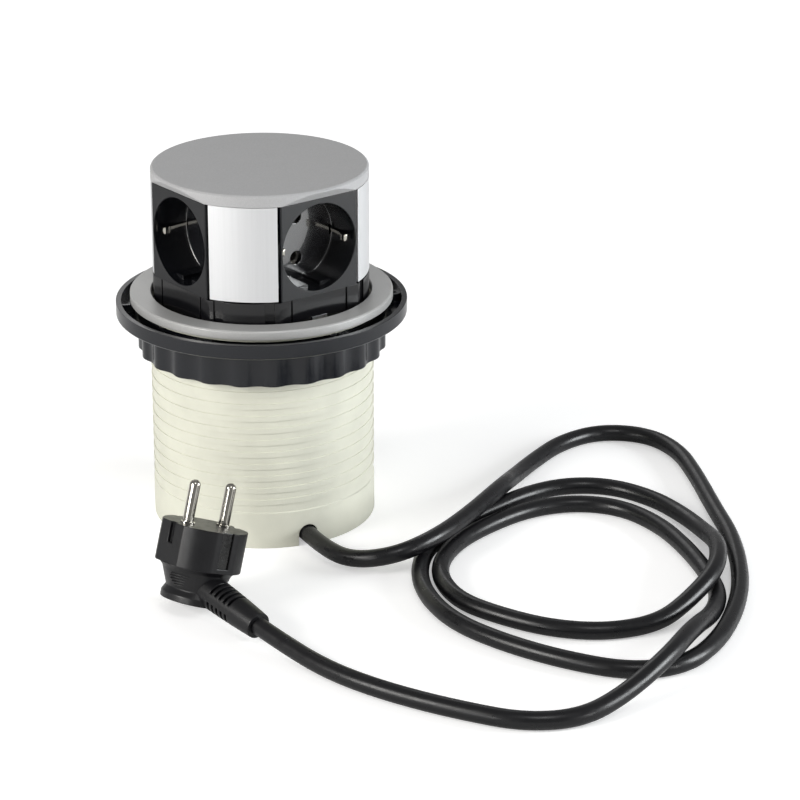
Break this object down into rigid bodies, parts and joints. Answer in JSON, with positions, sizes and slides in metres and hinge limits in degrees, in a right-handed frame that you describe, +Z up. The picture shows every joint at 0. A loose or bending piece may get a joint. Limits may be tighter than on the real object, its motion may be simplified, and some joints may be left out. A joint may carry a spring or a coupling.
{
  "type": "recessed socket",
  "caption": "Round pop-up desk socket: a head with earthed sockets slides out of a threaded housing that a clamp nut fixes in a worktop, on a cord with an angled plug.",
  "frame": {"origin": "bottom centre of the housing, on the surface it stands on", "axes": "+Z up along the housing; the sockets face -Y, +X, +Y and -X"},
  "size_m": [0.2976, 0.3281, 0.1644],
  "materials": {
    "cap_aluminium": "satin brushed anodised",
    "panel_aluminium": "satin brushed anodised",
    "ring_aluminium": "satin with a bright bevel",
    "socket_black": "semi-gloss moulded",
    "frame_black": "matt moulded",
    "nut_black": "matt moulded",
    "housing_ivory": "matt moulded",
    "nickel": "bright nickel plate",
    "contact_brass": "bare brass",
    "steel": "zinc-plated steel",
    "wire_brown": "wire sheath",
    "wire_blue": "wire sheath",
    "wire_green": "wire sheath",
    "cable_black": "smooth sheath",
    "plug_black": "matt moulded"
  },
  "bodies": {
    "housing": {"housing_tube": "housing_ivory", "trim_ring": "ring_aluminium", "ring_screws": "steel", "base_cover": "frame_black", "cable_clamp": "steel", "clamp_screws": "steel", "inner_lead": "cable_black", "power_cord": "cable_black", "plug_body": "plug_black", "plug_pins": "nickel", "plug_earth_strips": "nickel", "plug_strain_relief": "plug_black"},
    "head": {"head_cap": "cap_aluminium", "corner_panel_1": "panel_aluminium", "corner_panel_2": "panel_aluminium", "corner_panel_3": "panel_aluminium", "corner_panel_4": "panel_aluminium", "socket_insert_front": "socket_black", "earth_clip_front": "nickel", "contact_sleeves_front": "contact_brass", "socket_insert_right": "socket_black", "earth_clip_right": "nickel", "contact_sleeves_right": "contact_brass", "socket_insert_back": "socket_black", "earth_clip_back": "nickel", "contact_sleeves_back": "contact_brass", "socket_insert_left": "socket_black", "earth_clip_left": "nickel", "contact_sleeves_left": "contact_brass", "line_bus_bar": "contact_brass", "neutral_bus_bar": "contact_brass", "earth_bus_bar": "contact_brass", "line_wire": "wire_brown", "neutral_wire": "wire_blue", "earth_wire": "wire_green", "terminal_block": "frame_black", "head_frame": "frame_black", "head_screws": "steel", "detent_springs": "steel"},
    "pressure_ring": {"pressure_ring": "nut_black"},
    "clamp_nut": {"clamp_nut": "nut_black"}
  },
  "joints": [
    {"name": "head_slide", "type": "slide", "parent": "housing", "child": "head", "axis": [0, 0, 1], "range_m": [-0.058, 0], "deforming": ["inner_lead"]},
    {"name": "nut_travel", "type": "slide", "parent": "housing", "child": "pressure_ring", "axis": [0, 0, 1], "range_m": [-0.06, 0]},
    {"name": "nut_turn", "type": "hinge", "parent": "pressure_ring", "child": "clamp_nut", "pos_m": [0, 0, 0.087], "axis": [0, 0, 1], "range_deg": [-3780, 0]}
  ],
  "couplings": [
    {"joint": "nut_travel", "follows": "nut_turn", "m_per_rad": 0.00090877}
  ]
}
